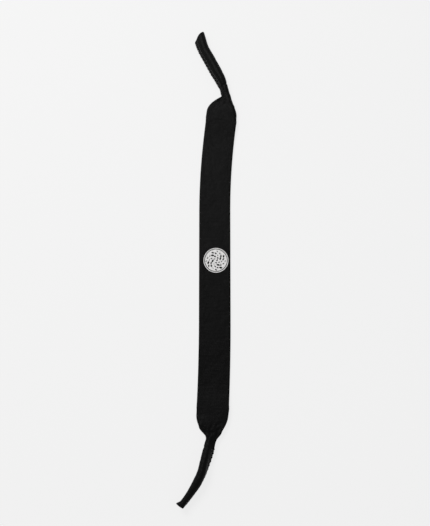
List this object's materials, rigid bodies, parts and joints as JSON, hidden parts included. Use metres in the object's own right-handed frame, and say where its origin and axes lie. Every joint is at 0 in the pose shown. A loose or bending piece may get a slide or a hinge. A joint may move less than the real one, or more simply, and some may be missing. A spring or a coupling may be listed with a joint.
{
  "type": "eyeglass retainer strap",
  "caption": "Flat foam and jersey strap whose narrow folded ends are sewn into soft tubes that grip the temple tips of a pair of glasses.",
  "frame": {"origin": "centre of the middle section's back face, in the middle of the strap's length, on the surface that it lies on", "axes": "+Y along the strap towards its upper end, +X across it to the right as seen from its printed face, +Z through its thickness, out of the printed face"},
  "size_m": [0.0501, 0.3951, 0.0083],
  "materials": {
    "foam": "matte",
    "outer_jersey": "matte",
    "inner_jersey": "matte",
    "thread": "satin",
    "print": "matte"
  },
  "bodies": {
    "middle": {"middle_foam": "foam", "middle_outer_jersey": "outer_jersey", "middle_inner_jersey": "inner_jersey", "round_print": "print"},
    "upper_band": {"upper_band_foam": "foam", "upper_band_outer_jersey": "outer_jersey", "upper_band_inner_jersey": "inner_jersey"},
    "upper_shoulder": {"upper_shoulder_foam": "foam", "upper_shoulder_outer_jersey": "outer_jersey", "upper_shoulder_inner_jersey": "inner_jersey"},
    "upper_tube": {"upper_tube_foam": "foam", "upper_tube_outer_jersey": "outer_jersey", "upper_tube_lining": "inner_jersey", "upper_needle_thread": "thread", "upper_top_looper_thread": "thread", "upper_bottom_looper_thread": "thread"},
    "lower_band": {"lower_band_foam": "foam", "lower_band_outer_jersey": "outer_jersey", "lower_band_inner_jersey": "inner_jersey"},
    "lower_shoulder": {"lower_shoulder_foam": "foam", "lower_shoulder_outer_jersey": "outer_jersey", "lower_shoulder_inner_jersey": "inner_jersey"},
    "lower_tube": {"lower_tube_foam": "foam", "lower_tube_outer_jersey": "outer_jersey", "lower_tube_lining": "inner_jersey", "lower_needle_thread": "thread", "lower_top_looper_thread": "thread", "lower_bottom_looper_thread": "thread"}
  },
  "joints": [
    {"name": "upper_inner_flex", "type": "hinge", "parent": "middle", "child": "upper_band", "pos_m": [0.00002, 0.045, 0.001], "axis": [-1, 0.0088, 0], "range_deg": [-45, 45], "stiffness_Nm_per_rad": 0.0005},
    {"name": "upper_outer_flex", "type": "hinge", "parent": "upper_band", "child": "upper_shoulder", "pos_m": [0.0037, 0.10486, 0.001], "axis": [-0.9935, 0.1138, 0], "range_deg": [-45, 45], "stiffness_Nm_per_rad": 0.0005},
    {"name": "upper_neck_swing", "type": "hinge", "parent": "upper_shoulder", "child": "upper_tube", "pos_m": [0.00928, 0.14244, 0.001], "axis": [0, 0, 1], "range_deg": [-30, 30], "stiffness_Nm_per_rad": 0.01},
    {"name": "lower_inner_flex", "type": "hinge", "parent": "middle", "child": "lower_band", "pos_m": [0, -0.045, 0.001], "axis": [1, 0, 0], "range_deg": [-45, 45], "stiffness_Nm_per_rad": 0.0005},
    {"name": "lower_outer_flex", "type": "hinge", "parent": "lower_band", "child": "lower_shoulder", "pos_m": [-0.00101, -0.10499, 0.001], "axis": [0.9993, -0.0367, 0], "range_deg": [-45, 45], "stiffness_Nm_per_rad": 0.0005},
    {"name": "lower_neck_swing", "type": "hinge", "parent": "lower_shoulder", "child": "lower_tube", "pos_m": [-0.00288, -0.14294, 0.001], "axis": [0, 0, 1], "range_deg": [-30, 30], "stiffness_Nm_per_rad": 0.01}
  ]
}
